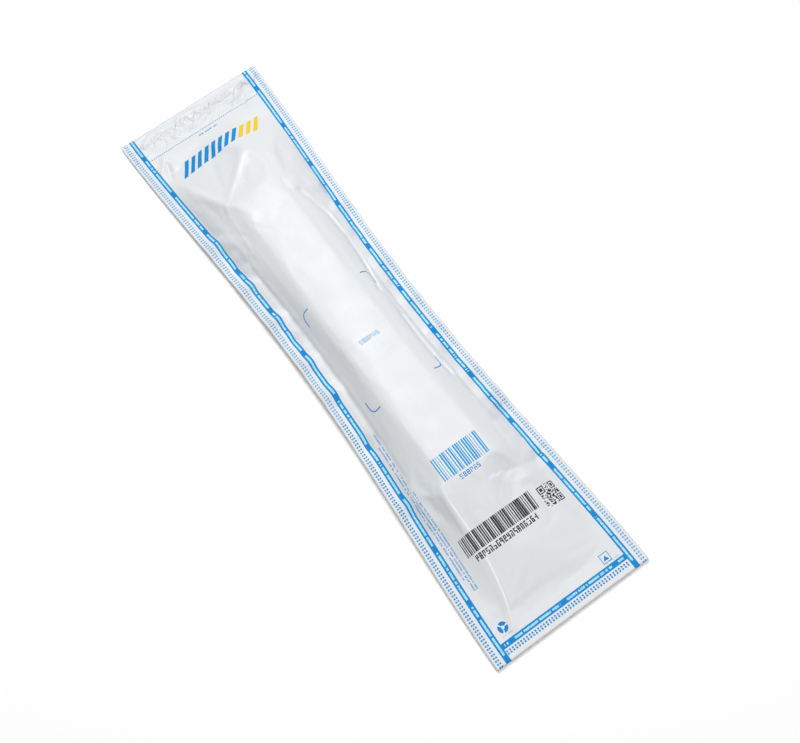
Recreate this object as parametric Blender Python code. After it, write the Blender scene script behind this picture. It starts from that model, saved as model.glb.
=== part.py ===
# A long narrow poly mailer bag, sealed, lying on its back with a boxy thing inside.
# Metres, +X across the print, +Y towards the glued closure, +Z out of the printed face.
# The front panel is laid out flat, its print is cut into it, and then every point of both
# panels is carried from the flat film (across, along) to where the filled bag holds it.

import math
import random

import bmesh
import bpy
import numpy as np

# Film as it was cut
FILM_WIDTH = 0.152
BAG_LENGTH = 0.600
SEAM_THICKNESS = 0.0004
FLAP_LENGTH = 0.035
FLAP_THICKNESS = 0.00035

# What the bag holds, measured from the bottom end of the bag
CONTENTS_START = 0.137
CONTENTS_END = 0.470
CONTENTS_WIDTH = 0.061
CONTENTS_HEIGHT = 0.0285
TOP_CROWN = 0.0006

# How softly the film goes over an edge: along the goods, and at any other fold
LEFT_SHOULDER_SOFTNESS = 0.0085
RIGHT_SHOULDER_SOFTNESS = 0.0052
FOLD_SOFTNESS = 0.0018
SHOULDER_FADE = 0.020

# How the film comes down at the sides and ends
WAIST_PULL = 0.0128
WAIST_SHARPNESS = 1.6
SEAM_LIFT = 0.0095
SEAM_LIFT_SHARPNESS = 1.2
MARGIN_DROOP = 0.0030
LEFT_VALLEY_WIDTH = 0.0085
RIGHT_VALLEY_WIDTH = 0.0075
LEFT_SLACK = 0.60
RIGHT_SLACK = 0.40
END_LIFT = 0.0032
SLOPE_FOOT_LIFT = 0.0042
CLOSURE_LIFT = 0.0028
CLOSURE_SLOPE_LENGTH = 0.068
BOTTOM_SLOPE_LENGTH = 0.105
SAG_SHARE = 0.40
SAG_HEIGHT = 0.0165
RIGHT_SAG_HEIGHT = 0.0130
LEFT_CREASE_SAG_SPREAD = 0.034
LEFT_CREASE_FOOT_SPREAD = 0.043
RIGHT_SAG_SPREAD = 0.045
RIDGE_SPREAD = 0.053
KNUCKLE_SHARE = 0.32
LEFT_KNUCKLE_SPREAD = 0.0400
LEFT_KNUCKLE_HEIGHT = 0.0222
RIGHT_KNUCKLE_SPREAD = 0.0345
RIGHT_KNUCKLE_HEIGHT = 0.0268
REST_WIDTH = 0.062
REST_INSET = 0.006
UNDERSIDE_ROUNDING = 0.024
SHORTEST_RUN = 0.25

# Share of the spare film that stands as a valley, at each knot of the ridges
FULLNESS = (0.0, 0.1, 0.35, 1.0, 0.9, 0.15, 0.0, 0.0)

# Print
BAND_INSET = 0.009
BAND_WIDTH = 0.005
BOTTOM_BAND_START = 0.0100
BOTTOM_BAND_WIDTH = 0.0050
LARGE_CODE_WIDTH = 0.073
LARGE_CODE_HEIGHT = 0.016
LARGE_CODE_CENTRE = (-0.0075, 0.092)
SMALL_CODE_WIDTH = 0.045
SMALL_CODE_HEIGHT = 0.0218
SMALL_CODE_CENTRE = (0.0, 0.1534)
SQUARE_CODE_SIZE = 0.019
SQUARE_CODE_CENTRE = (0.045, 0.088)
SQUARE_CODE_CELLS = 6
BAR_UNIT = 0.0011
LABEL_WIDTH = 0.083
LABEL_START = 0.2285
LABEL_LENGTH = 0.112
LABEL_CORNER = 0.0125
LABEL_LINE = 0.0011
STRIPES_START = (-0.045, 0.529)
STRIPES_HEIGHT = 0.0185
STRIPE_PITCH = 0.0078
STRIPE_WIDTH = 0.0046
STRIPE_LEAN = 0.55
BLUE_STRIPES = 8
YELLOW_STRIPES = 3
TEAR_LINE_AT = 0.569
TEAR_LINE_WIDTH = 0.123
TEAR_LINE_THICKNESS = 0.0006

# Fineness
ROW_PITCH = 0.0058
COLUMN_PITCH = 0.0075
CLOSE = 1e-6

HALF_WIDTH = FILM_WIDTH / 2
MARGIN = BAND_INSET + BAND_WIDTH

# Puckers along the side seams: side, place as a share of the bag's length, reach in from
# the seam, half length, height. A minus height goes down.
PUCKERS = (
    (-1, 0.753, 0.016, 0.013, 0.0039),
    (-1, 0.700, 0.012, 0.010, -0.0023),
    (-1, 0.663, 0.010, 0.009, 0.0031),
    (-1, 0.592, 0.011, 0.011, 0.0036),
    (-1, 0.550, 0.010, 0.009, -0.0021),
    (-1, 0.508, 0.010, 0.010, 0.0029),
    (-1, 0.447, 0.012, 0.012, 0.0036),
    (-1, 0.353, 0.010, 0.012, -0.0026),
    (-1, 0.250, 0.013, 0.012, 0.0031),
    (1, 0.728, 0.020, 0.014, -0.0047),
    (1, 0.692, 0.012, 0.012, 0.0044),
    (1, 0.640, 0.012, 0.010, -0.0026),
    (1, 0.575, 0.013, 0.013, 0.0039),
    (1, 0.535, 0.012, 0.009, -0.0026),
    (1, 0.500, 0.012, 0.010, 0.0036),
    (1, 0.443, 0.011, 0.009, 0.0034),
    (1, 0.400, 0.012, 0.010, -0.0029),
    (1, 0.357, 0.011, 0.010, 0.0034),
    (1, 0.313, 0.018, 0.014, 0.0057),
    (1, 0.277, 0.024, 0.012, -0.0052),
    (1, 0.213, 0.014, 0.013, 0.0034),
)
PUCKER_TIP = 0.35
PUCKER_LOSS_AT_EDGE = 0.55
PUCKER_PULL = 0.27
PULL_LOSS_AT_EDGE = 0.8

# Creases: the place along the bag that they go with, points of the fold (across as a share
# of the half width, along from that place), height, width of the left and the right flank
CREASES = (
    (CONTENTS_END, ((0.47, -0.015), (0.74, -0.036)), 0.0022, 0.010, 0.012),
    (CONTENTS_END, ((-0.42, 0.000), (-0.47, -0.010), (-0.52, -0.046)), 0.0020, 0.005, 0.005),
    (CONTENTS_END, ((0.44, -0.028), (0.52, -0.045), (0.61, -0.060), (0.655, -0.083), (0.647, -0.110),
                    (0.60, -0.126), (0.50, -0.150)), -0.0020, 0.006, 0.007),
    (CONTENTS_END, ((0.56, -0.181), (0.545, -0.204), (0.54, -0.232), (0.60, -0.248)),
     -0.0018, 0.006, 0.006),
    (BAG_LENGTH, ((-0.75, -0.012), (-0.60, -0.006), (-0.31, -0.009), (-0.06, -0.006), (0.17, -0.010),
                  (0.42, -0.0105), (0.70, -0.010), (0.84, -0.012)), 0.0018, 0.005, 0.006),
    (BAG_LENGTH, ((0.50, -0.026), (0.62, -0.017), (0.74, -0.011)), 0.0015, 0.006, 0.006),
    (BAG_LENGTH, ((-0.76, -0.048), (-0.64, -0.038), (-0.60, -0.050)), 0.0018, 0.006, 0.006),
    (CONTENTS_START, ((0.33, -0.015), (0.50, -0.018), (0.76, -0.017)), -0.0032, 0.020, 0.010),
    (CONTENTS_START, ((-0.37, 0.003), (-0.39, -0.037), (-0.43, -0.077), (-0.50, -0.097),
                      (-0.60, -0.117)), 0.0016, 0.005, 0.006),
)

# Corners of the facets past the closure end of the goods: across as a share of the half
# width, along as a share of the closure slope, height as a share of the goods' height
FACET_CORNERS = {
    "left": (-0.401, 0.0, 1.0),
    "right": (0.401, 0.0, 1.0),
    "knuckle": (0.454, 0.32, 0.940),
    "peak": (0.19, 0.64, 0.925),
    "left foot": (-0.697, 1.0, 0.147),
    "right foot": (0.697, 1.0, 0.147),
    "middle foot": (-0.13, 1.26, 0.127),
    "peak foot": (0.29, 1.26, 0.127),
}
FACETS = (
    ("left", "right", "peak"),
    ("right", "knuckle", "peak"),
    ("knuckle", "right foot", "peak foot"),
    ("knuckle", "peak foot", "peak"),
    ("peak", "peak foot", "middle foot"),
    ("left", "peak", "middle foot"),
    ("left", "middle foot", "left foot"),
)


def stations(stops, pitch):
    """Places from the first stop to the last, through each stop, no further apart than pitch."""
    places = [stops[0]]
    for start, stop in zip(stops, stops[1:]):
        parts = max(1, math.ceil((stop - start) / pitch - CLOSE))
        places += [start + (stop - start) * (n + 1) / parts for n in range(parts)]
    return places


def eased(value, start, stop):
    share = np.clip((value - start) / (stop - start), 0.0, 1.0)
    return share * share * (3 - 2 * share)


def run(length, drop):
    """How far a straight piece of film of this length reaches while it drops this much."""
    return np.sqrt(np.maximum(length**2 - drop**2, (SHORTEST_RUN * length) ** 2))


def waist(along, sharpness):
    """Nought at both ends of the bag, one half way along it."""
    share = np.clip(along / BAG_LENGTH, 0.0, 1.0)
    return np.sin(math.pi * share) ** sharpness


def ridge(along, side):
    """Middle height, then height and half width of the ridge on one side, and fullness, at
    places along the bag. The left ridge runs on towards the bottom end as one long crease,
    and the right one fans out to its seam soon after the contents end."""
    foot = CONTENTS_START - BOTTOM_SLOPE_LENGTH
    sag = CONTENTS_START - SAG_SHARE * BOTTOM_SLOPE_LENGTH
    knuckle = CONTENTS_END + KNUCKLE_SHARE * CLOSURE_SLOPE_LENGTH
    half = CONTENTS_WIDTH / 2
    full = CONTENTS_HEIGHT
    past_spread, past_height = LEFT_KNUCKLE_SPREAD, LEFT_KNUCKLE_HEIGHT
    heights = SLOPE_FOOT_LIFT, SAG_HEIGHT
    spreads = LEFT_CREASE_FOOT_SPREAD, LEFT_CREASE_SAG_SPREAD
    if side > 0:
        past_spread, past_height = RIGHT_KNUCKLE_SPREAD, RIGHT_KNUCKLE_HEIGHT
        heights = (SLOPE_FOOT_LIFT + END_LIFT) / 2, RIGHT_SAG_HEIGHT
        spreads = RIDGE_SPREAD, RIGHT_SAG_SPREAD
    knots = (0.0, foot, sag, CONTENTS_START, CONTENTS_END, knuckle,
             CONTENTS_END + CLOSURE_SLOPE_LENGTH, BAG_LENGTH)
    closure = past_height, SLOPE_FOOT_LIFT, CLOSURE_LIFT
    rows = (
        (END_LIFT, SLOPE_FOOT_LIFT, SAG_HEIGHT, full, full, *closure),
        (END_LIFT, *heights, full, full, *closure),
        (RIDGE_SPREAD, *spreads, half, half, past_spread, RIDGE_SPREAD, RIDGE_SPREAD),
        FULLNESS,
    )
    return [np.interp(along, knots, row) for row in rows]


def on_facets(across, along, z):
    """Puts each place past the closure end of the goods on the flat facet that it is in."""
    corners = {}
    for name, (share, past, rise) in FACET_CORNERS.items():
        corners[name] = (share * HALF_WIDTH, CONTENTS_END + past * CLOSURE_SLOPE_LENGTH,
                         rise * CONTENTS_HEIGHT)
    for trio in FACETS:
        (ax, ay, az), (bx, by, bz), (cx, cy, cz) = (corners[name] for name in trio)
        area = (bx - ax) * (cy - ay) - (cx - ax) * (by - ay)
        to_b = ((across - ax) * (cy - ay) - (cx - ax) * (along - ay)) / area
        to_c = ((bx - ax) * (along - ay) - (across - ax) * (by - ay)) / area
        within = (to_b > -CLOSE) & (to_c > -CLOSE) & (to_b + to_c < 1 + CLOSE)
        z = np.where(within, az + to_b * (bz - az) + to_c * (cz - az), z)
    return z


def taut_front(across, along):
    """The front panel with sharp folds, straight from ridge to valley to side seam. Between
    ridge and seam the film keeps its own length, so what the seam draws in goes down into
    a valley beside it."""
    side = np.where(across < 0, -1.0, 1.0)
    distance = np.abs(across)
    middle, height, spread, fullness = (
        np.where(across < 0, one, other) for one, other in zip(ridge(along, -1), ridge(along, 1)))
    seam_at = HALF_WIDTH - MARGIN
    seam_x = seam_at - WAIST_PULL * waist(along, WAIST_SHARPNESS)
    rise = eased(along, CONTENTS_END + CLOSURE_SLOPE_LENGTH, BAG_LENGTH)
    low = END_LIFT + (CLOSURE_LIFT - END_LIFT) * rise
    seam_z = low + (SEAM_LIFT - low) * waist(along, SEAM_LIFT_SHARPNESS)
    ridge_x = run(spread, middle - height)
    chord = np.hypot(seam_x - ridge_x, height - seam_z)
    slack = np.where(across < 0, LEFT_SLACK, RIGHT_SLACK)
    valley = np.where(across < 0, LEFT_VALLEY_WIDTH, RIGHT_VALLEY_WIDTH)
    spare = np.maximum(seam_at - spread - chord, 0.0) * fullness * slack
    wall = chord + spare - valley
    turn = np.arccos(np.clip((valley**2 + chord**2 - wall**2) / (2 * valley * chord), -1.0, 1.0))
    heading = np.arctan2(height - seam_z, ridge_x - seam_x) + turn
    valley_x = seam_x + valley * np.cos(heading)
    valley_z = seam_z + valley * np.sin(heading)
    stops = (0 * spread, spread, seam_at - valley, seam_at + 0 * spread)
    places = (0 * spread, ridge_x, valley_x, seam_x)
    heights = (middle, height, valley_z, seam_z)
    x = seam_x + (distance - seam_at)
    z = seam_z - MARGIN_DROOP * waist(along, 1.0) * (distance - seam_at) / MARGIN
    for near in (2, 1, 0):
        share = (distance - stops[near]) / (stops[near + 1] - stops[near])
        inward = distance < stops[near + 1]
        x = np.where(inward, places[near] + share * (places[near + 1] - places[near]), x)
        z = np.where(inward, heights[near] + share * (heights[near + 1] - heights[near]), z)
    crown = TOP_CROWN * fullness * np.clip(1 - (distance / spread) ** 2, 0.0, 1.0)
    return side * x, on_facets(across, along, z + crown)


def relief(across, along):
    """How far puckers and creases shift the taut film, across and up."""
    x, z = np.zeros_like(across), np.zeros_like(across)
    seam_at = HALF_WIDTH - MARGIN
    for side, place, reach, half_length, height in PUCKERS:
        # a pucker runs in from the seam, narrows to a point, and draws the seam in
        distance = across * side
        over = np.clip((distance - (seam_at - reach)) / reach, 0.0, 1.0)
        past_seam = eased(distance, seam_at, HALF_WIDTH)
        width = half_length * (PUCKER_TIP + (1 - PUCKER_TIP) * over)
        swell = np.clip(1 - np.abs(along - place * BAG_LENGTH) / width, 0.0, 1.0)
        z += height * swell * over * (1 - PUCKER_LOSS_AT_EDGE * past_seam)
        pull = PUCKER_PULL * height * (1 - PULL_LOSS_AT_EDGE * past_seam)
        x -= side * pull * eased(swell, 0.0, 1.0) * over
    for anchor, points, height, left_flank, right_flank in CREASES:
        spots = [(share * HALF_WIDTH, anchor + past) for share, past in points]
        nearest = np.full_like(across, math.inf)
        down = np.ones_like(across)
        for (ax, ay), (bx, by) in zip(spots, spots[1:]):
            dx, dy = bx - ax, by - ay
            share = np.clip(((across - ax) * dx + (along - ay) * dy) / (dx * dx + dy * dy), 0, 1)
            off_x, off_y = across - ax - share * dx, along - ay - share * dy
            gap = np.hypot(off_x, off_y)
            flank = np.where(dx * off_y - dy * off_x >= 0, left_flank, right_flank)
            down = np.where(gap < nearest, gap / flank, down)
            nearest = np.minimum(gap, nearest)
        z += height * np.clip(1 - down, 0.0, 1.0)
    return x, z


def softness(across, along):
    """Large on the shoulders along the goods, small elsewhere."""
    distance = np.abs(across)
    valley_at = HALF_WIDTH - MARGIN - LEFT_VALLEY_WIDTH
    on_goods = eased(along, CONTENTS_START - SHOULDER_FADE / 2, CONTENTS_START + SHOULDER_FADE)
    on_goods = on_goods * (1 - eased(along, CONTENTS_END - SHOULDER_FADE, CONTENTS_END))
    on_goods = on_goods * (1 - eased(distance, (CONTENTS_WIDTH + SHOULDER_FADE) / 2, valley_at))
    shoulder = np.where(across < 0, LEFT_SHOULDER_SOFTNESS, RIGHT_SHOULDER_SOFTNESS)
    return FOLD_SOFTNESS + (shoulder - FOLD_SOFTNESS) * on_goods


def front_point(across, along):
    """Where the filled bag holds a place of the front panel."""
    reach = softness(across, along)
    x, z = np.zeros_like(across), np.zeros_like(across)
    steps = (-1.0, -0.5, 0.0, 0.5, 1.0)
    for du in steps:
        for dv in steps:
            one_x, one_z = taut_front(across + du * reach, along + dv * reach)
            x += one_x / len(steps) ** 2
            z += one_z / len(steps) ** 2
    shift_x, shift_z = relief(across, along)
    return x + shift_x, along - BAG_LENGTH / 2, z + shift_z


def rear_point(across, along):
    """Where the filled bag holds a place of the rear panel: flat under the contents, rising
    to the side seams, and one seam thickness under the front panel at seams and ends."""
    seam_at = HALF_WIDTH - MARGIN
    side = np.where(across < 0, -1.0, 1.0)
    distance = np.abs(across)
    x, y, z = front_point(across, along)
    seam_x, seam_y, seam_z = front_point(side * seam_at, along)
    lift = np.clip((distance - seam_at + UNDERSIDE_ROUNDING) / UNDERSIDE_ROUNDING, 0.0, 1.0) ** 2
    under_x = np.where(distance < seam_at, seam_x * distance / seam_at, x)
    under_z = np.where(distance < seam_at, lift * (seam_z - SEAM_THICKNESS), z - SEAM_THICKNESS)
    start = CONTENTS_START + REST_INSET
    stop = CONTENTS_END - REST_INSET
    bottom_seal = BOTTOM_BAND_START + BOTTOM_BAND_WIDTH
    ends = 1 - eased(along, bottom_seal, start) * (1 - eased(along, stop, BAG_LENGTH - FLAP_LENGTH))
    ends = ends * (1 - eased(z, 0.0, CONTENTS_HEIGHT)) ** 3
    ends = np.where(distance < seam_at, ends, 1.0)
    on_flap = along > BAG_LENGTH - FLAP_LENGTH - CLOSE
    rear_z = under_z + ends * (z - SEAM_THICKNESS - under_z) - FLAP_THICKNESS * on_flap
    return under_x + ends * (x - under_x), y, np.minimum(rear_z, z - SEAM_THICKNESS)


def flat_panel(bm, columns, rows, level, outward):
    """A panel laid flat: front at level 0, rear below it, each face pointing out."""
    grid = [[bm.verts.new((u, v, level)) for u in columns] for v in rows]
    for low, high in zip(grid, grid[1:]):
        for n in range(len(columns) - 1):
            corners = [low[n], low[n + 1], high[n + 1], high[n]]
            bm.faces.new(corners if outward > 0 else corners[::-1])
    return grid


def close_rim(bm, front, rear, front_columns, rear_columns):
    """Joins the two panels along the sides and both ends."""
    for low, high in zip(range(len(front) - 1), range(1, len(front))):
        bm.faces.new([front[low][0], front[high][0], rear[high][0], rear[low][0]])
        bm.faces.new([front[high][-1], front[low][-1], rear[low][-1], rear[high][-1]])
    places = [front_columns.index(u) for u in rear_columns]
    for end, turned in ((0, False), (-1, True)):
        for n, (first, last) in enumerate(zip(places, places[1:])):
            corners = front[end][first:last + 1] + [rear[end][n + 1], rear[end][n]]
            bm.faces.new(corners[::-1] if not turned else corners)


def inside(spot, box):
    left, right, low, high = box
    return left < spot.x < right and low < spot.y < high


def cut_panel(bm, box, places, axis, lean=0.0):
    """Cuts the front panel inside a box along lines at the places: lines that run up the
    panel, leaning if told so, for axis 0, and across it for axis 1."""
    left, right, low, high = box
    faces = []
    for face in bm.faces:
        spots = [v.co for v in face.verts]
        if (max(abs(s.z) for s in spots) < CLOSE
                and max(s.x for s in spots) > left and min(s.x for s in spots) < right
                and max(s.y for s in spots) > low and min(s.y for s in spots) < high):
            faces.append(face)
    pieces = list({e for f in faces for e in f.edges} | {v for f in faces for v in f.verts}) + faces
    normal = (1, -lean, 0) if axis == 0 else (0, 1, 0)
    for place in places:
        plane = (place, low, 0) if axis == 0 else (0, place, 0)
        cut = bmesh.ops.bisect_plane(bm, geom=pieces, dist=CLOSE, plane_co=plane, plane_no=normal)
        pieces = cut["geom"]


def faces_in(bm, box):
    """The faces of the front panel whose middle is in the box, each with that middle."""
    for face in bm.faces:
        middle = face.calc_center_median()
        if abs(middle.z) < CLOSE and inside(middle, box):
            yield face, middle


def print_box(bm, box, slot):
    """Prints one filled rectangle on the front panel."""
    left, right, low, high = box
    cut_panel(bm, box, (low, high), 1)
    cut_panel(bm, box, (left, right), 0)
    for face, middle in faces_in(bm, box):
        face.material_index = slot


def print_stripes(bm):
    """Leaning stripes side by side, the blue ones first and the yellow ones after them."""
    left, low = STRIPES_START
    count = BLUE_STRIPES + YELLOW_STRIPES
    right = left + (count - 1) * STRIPE_PITCH + STRIPE_WIDTH + STRIPE_LEAN * STRIPES_HEIGHT
    box = (left, right, low, low + STRIPES_HEIGHT)
    cut_panel(bm, box, box[2:], 1)
    starts = [left + n * STRIPE_PITCH for n in range(count)]
    cut_panel(bm, box, starts + [start + STRIPE_WIDTH for start in starts], 0, STRIPE_LEAN)
    for face, middle in faces_in(bm, box):
        past = middle.x - STRIPE_LEAN * (middle.y - low) - left
        stripe = math.floor(past / STRIPE_PITCH)
        if 0 <= stripe < count and past - stripe * STRIPE_PITCH < STRIPE_WIDTH:
            face.material_index = 1 if stripe < BLUE_STRIPES else 3


def print_bar_code(bm, centre, width, height, slot, seed):
    """Upright bars of one to three units, with gaps of one or two."""
    draw = random.Random(seed)
    left, low = centre[0] - width / 2, centre[1] - height / 2
    box = (left, left + width, low, low + height)
    edges = [box[0]]
    while True:
        bar = BAR_UNIT * draw.choice((1, 1, 2, 3))
        gap = BAR_UNIT * draw.choice((1, 2))
        if edges[-1] + bar + gap + BAR_UNIT > box[1]:
            break
        edges += [edges[-1] + bar, edges[-1] + bar + gap]
    edges.append(box[1])
    cut_panel(bm, box, box[2:], 1)
    cut_panel(bm, box, edges, 0)
    for face, middle in faces_in(bm, box):
        if sum(edge < middle.x for edge in edges) % 2:
            face.material_index = slot


def print_square_code(bm, centre, size, cells, slot, seed):
    """A square of small cells, about half of them filled."""
    draw = random.Random(seed)
    left, low = centre[0] - size / 2, centre[1] - size / 2
    box = (left, left + size, low, low + size)
    lines = [n * size / cells for n in range(cells + 1)]
    cut_panel(bm, box, [low + line for line in lines], 1)
    cut_panel(bm, box, [left + line for line in lines], 0)
    filled = {(i, j) for i in range(cells) for j in range(cells) if draw.random() < 0.5}
    for face, middle in faces_in(bm, box):
        cell = (int((middle.x - left) / size * cells), int((middle.y - low) / size * cells))
        if cell in filled:
            face.material_index = slot


def material(name, colour, roughness):
    made = bpy.data.materials.new(name)
    made.use_nodes = True
    shader = made.node_tree.nodes["Principled BSDF"]
    shader.inputs["Base Color"].default_value = (*colour, 1.0)
    shader.inputs["Roughness"].default_value = roughness
    shader.inputs["Metallic"].default_value = 0.0
    return made


def build_mailer_bag():
    seam_at = HALF_WIDTH - MARGIN
    band_out = HALF_WIDTH - BAND_INSET
    valley_at = seam_at - LEFT_VALLEY_WIDTH
    rest_half = REST_WIDTH / 2
    half_stops = [0.0, rest_half, valley_at, seam_at, band_out, HALF_WIDTH]
    right = stations(half_stops, COLUMN_PITCH)
    columns = [-u for u in reversed(right[1:])] + right
    keep = stations([0.0, rest_half], REST_WIDTH)[:2] + [u for u in right if u > rest_half + CLOSE]
    rear_columns = [-u for u in reversed(keep[1:])] + keep
    flap_edge = BAG_LENGTH - FLAP_LENGTH
    rows = stations([0.0, BOTTOM_BAND_START, BOTTOM_BAND_START + BOTTOM_BAND_WIDTH,
                     CONTENTS_START + REST_INSET, CONTENTS_END - REST_INSET,
                     flap_edge - FLAP_THICKNESS, flap_edge, BAG_LENGTH], ROW_PITCH)
    bm = bmesh.new()
    front = flat_panel(bm, columns, rows, 0.0, 1)
    rear = flat_panel(bm, rear_columns, rows, -SEAM_THICKNESS, -1)
    close_rim(bm, front, rear, columns, rear_columns)

    bottom_band = (-band_out, band_out, BOTTOM_BAND_START, BOTTOM_BAND_START + BOTTOM_BAND_WIDTH)
    side_bands = [(-band_out, -seam_at, 0.0, BAG_LENGTH), (seam_at, band_out, 0.0, BAG_LENGTH)]
    for box in (bottom_band, *side_bands):
        for face, middle in faces_in(bm, box):
            face.material_index = 1
    print_bar_code(bm, LARGE_CODE_CENTRE, LARGE_CODE_WIDTH, LARGE_CODE_HEIGHT, 2, seed=3)
    print_bar_code(bm, SMALL_CODE_CENTRE, SMALL_CODE_WIDTH, SMALL_CODE_HEIGHT, 1, seed=8)
    print_square_code(bm, SQUARE_CODE_CENTRE, SQUARE_CODE_SIZE, SQUARE_CODE_CELLS, 2, seed=5)
    half_line = LABEL_LINE / 2
    for side in (-1, 1):
        for end, inward in ((LABEL_START, 1), (LABEL_START + LABEL_LENGTH, -1)):
            corner = side * LABEL_WIDTH / 2
            left, right = sorted((corner, corner - side * LABEL_CORNER))
            low, high = sorted((end, end + inward * LABEL_CORNER))
            print_box(bm, (left, right, end - half_line, end + half_line), 1)
            print_box(bm, (corner - half_line, corner + half_line, low, high), 1)
    print_stripes(bm)
    half_tear, half_thick = TEAR_LINE_WIDTH / 2, TEAR_LINE_THICKNESS / 2
    print_box(bm, (-half_tear, half_tear, TEAR_LINE_AT - half_thick, TEAR_LINE_AT + half_thick), 1)

    spots = np.array([v.co[:] for v in bm.verts])
    on_front = np.abs(spots[:, 2]) < CLOSE
    placed = np.stack(front_point(spots[:, 0], spots[:, 1]), axis=1)
    under = np.stack(rear_point(spots[:, 0], spots[:, 1]), axis=1)
    placed = np.where(on_front[:, None], placed, under)
    for vert, place in zip(bm.verts, placed):
        vert.co = place
    resting = [f for f in bm.faces if all(abs(v.co.z) < CLOSE for v in f.verts)]
    bmesh.ops.dissolve_faces(bm, faces=resting)

    mesh = bpy.data.meshes.new("mailer_bag")
    bm.to_mesh(mesh)
    bm.free()
    for one in (material("white film", (0.86, 0.87, 0.88), 0.32),
                material("blue print", (0.0, 0.23, 0.68), 0.38),
                material("black print", (0.01, 0.01, 0.012), 0.45),
                material("yellow print", (0.90, 0.62, 0.03), 0.38)):
        mesh.materials.append(one)
    mesh.shade_smooth()
    mesh.set_sharp_from_angle(angle=math.radians(40))
    bag = bpy.data.objects.new("mailer_bag", mesh)
    bpy.context.scene.collection.objects.link(bag)
    return bag


for thing in list(bpy.data.objects):
    bpy.data.objects.remove(thing)
build_mailer_bag()
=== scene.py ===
import math

import bpy
import numpy as np
from mathutils import Matrix, Vector


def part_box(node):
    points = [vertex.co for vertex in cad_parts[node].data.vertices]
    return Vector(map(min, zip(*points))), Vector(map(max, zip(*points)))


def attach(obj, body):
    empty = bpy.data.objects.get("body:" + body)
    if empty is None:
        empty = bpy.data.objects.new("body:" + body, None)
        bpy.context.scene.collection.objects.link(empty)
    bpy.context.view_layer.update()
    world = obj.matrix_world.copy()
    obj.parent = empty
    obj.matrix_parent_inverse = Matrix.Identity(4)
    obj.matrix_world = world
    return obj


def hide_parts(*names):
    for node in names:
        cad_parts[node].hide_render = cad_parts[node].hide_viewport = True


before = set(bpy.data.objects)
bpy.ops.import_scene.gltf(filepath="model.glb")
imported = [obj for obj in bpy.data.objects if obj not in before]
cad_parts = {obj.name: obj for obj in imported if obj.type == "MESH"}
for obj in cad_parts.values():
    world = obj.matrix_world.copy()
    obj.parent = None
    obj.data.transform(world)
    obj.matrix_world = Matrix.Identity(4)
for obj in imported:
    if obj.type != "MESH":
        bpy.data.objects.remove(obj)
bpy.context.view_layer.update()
print("frame loaded")

bagLow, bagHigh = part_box("mailer_bag")
halfWidth = (bagHigh.x - bagLow.x) / 2
bagLength = bagHigh.y - bagLow.y

film = {
    "columns": 54,
    "rows": 212,
    "finer": 2,
    "thickness": 0.0003,
    "flapLength": 0.035,
    "flapStep": 0.0003,
    "flapEdge": 0.0002,
    "bandInset": 0.009,
    "bandWidth": 0.005,
    "bottomBandLow": 0.0100,
    "bottomBandWidth": 0.0050,
}
seamAt = halfWidth - film["bandInset"] - film["bandWidth"]

form = {
    "contentsLow": 0.137,
    "contentsHigh": 0.470,
    "contentsHalf": 0.0305,
    "contentsHeight": 0.0285,
    "crown": 0.0006,
    "leftShoulder": 0.0085,
    "rightShoulder": 0.0052,
    "shoulderFade": {"bottom": (0.010, 0.020), "closure": (0.020, 0.004), "wall": 0.008},
    "foldSoftness": 0.0018,
    "facetSoftness": 0.0038,
    "waistPull": 0.0128,
    "waistPower": 1.6,
    "seamLift": 0.0095,
    "seamPower": 1.2,
    "marginDroop": 0.0014,
    "leftValley": 0.0085,
    "rightValley": 0.0075,
    "leftSlack": 0.60,
    "rightSlack": 0.40,
    "endLift": 0.0032,
    "footLift": 0.0042,
    "closureLift": 0.0028,
    "closureSlope": 0.068,
    "bottomSlope": 0.105,
    "sagShare": 0.40,
    "sagHeight": 0.0165,
    "rightSagHeight": 0.0130,
    "leftSagSpread": 0.034,
    "leftFootSpread": 0.043,
    "rightSagSpread": 0.045,
    "ridgeSpread": 0.053,
    "leastRidge": 0.25,
    "knuckleShare": 0.32,
    "leftKnuckleSpread": 0.0400,
    "leftKnuckleHeight": 0.0222,
    "knuckleSpread": 0.0345,
    "knuckleHeight": 0.0268,
    "restInset": 0.006,
    "undersideRounding": 0.024,
    "fullness": (0.0, 0.1, 0.35, 1.0, 0.9, 0.15, 0.0, 0.0),
}

# side, place as a share of the length, reach in from the seam, half length, height
puckers = [
    (-1, 0.753, 0.016, 0.013, 0.0039),
    (-1, 0.700, 0.012, 0.010, -0.0023),
    (-1, 0.663, 0.010, 0.009, 0.0031),
    (-1, 0.592, 0.011, 0.011, 0.0036),
    (-1, 0.550, 0.010, 0.009, -0.0021),
    (-1, 0.508, 0.010, 0.010, 0.0029),
    (-1, 0.447, 0.012, 0.012, 0.0036),
    (-1, 0.353, 0.010, 0.012, -0.0026),
    (-1, 0.250, 0.013, 0.012, 0.0031),
    (1, 0.728, 0.020, 0.014, -0.0047),
    (1, 0.692, 0.012, 0.012, 0.0044),
    (1, 0.640, 0.012, 0.010, -0.0026),
    (1, 0.575, 0.013, 0.013, 0.0039),
    (1, 0.535, 0.012, 0.009, -0.0026),
    (1, 0.500, 0.012, 0.010, 0.0036),
    (1, 0.443, 0.011, 0.009, 0.0034),
    (1, 0.400, 0.012, 0.010, -0.0029),
    (1, 0.357, 0.011, 0.010, 0.0034),
    (1, 0.313, 0.018, 0.014, 0.0057),
    (1, 0.277, 0.024, 0.012, -0.0052),
    (1, 0.213, 0.014, 0.013, 0.0034),
]
puckerTip = 0.35
puckerPull = 0.27
puckerPullLoss = 0.8
puckerLossAtEdge = 0.55

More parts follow.
